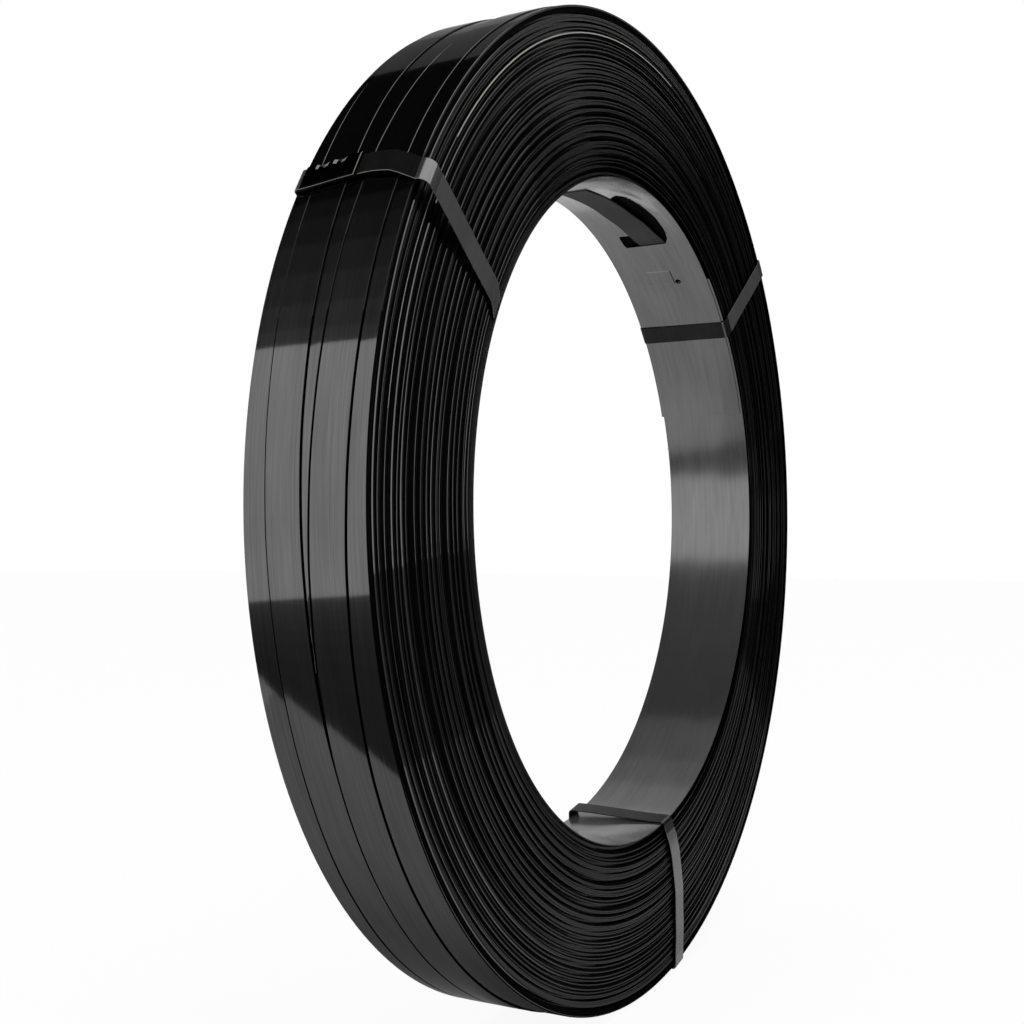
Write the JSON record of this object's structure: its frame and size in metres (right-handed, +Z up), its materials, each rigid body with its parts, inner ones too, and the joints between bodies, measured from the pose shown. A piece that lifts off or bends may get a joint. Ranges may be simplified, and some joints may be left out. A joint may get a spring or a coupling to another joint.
{
  "type": "coil of steel strapping",
  "caption": "Wide ring-shaped coil of black flat steel strapping, cross-wound on a lapped grey core ring and tied with binding straps.",
  "frame": {"origin": "centre of the open bore, half way between the ends of the coil", "axes": "+Y along the coil's axis from the front end to the back end, +Z up as the coil stands on its rim, +X to the right seen from the front"},
  "size_m": [0.6, 0.0694, 0.6],
  "materials": {
    "black_strapping": "black lacquered and waxed steel strip, satin with fine lengthwise streaks",
    "grey_core": "grey oiled steel sheet, satin",
    "binding_strap": "black lacquered steel strap, satin",
    "seal": "black steel seal, bare and bright at its crimps"
  },
  "bodies": {
    "root": {"strapping_coil": "black_strapping", "core_ring": "grey_core", "binding_strap_left": "binding_strap", "binding_strap_right": "binding_strap", "binding_strap_bottom": "binding_strap", "strap_seal_left": "seal", "strap_seal_right": "seal", "strap_seal_bottom": "seal"}
  },
  "joints": []
}
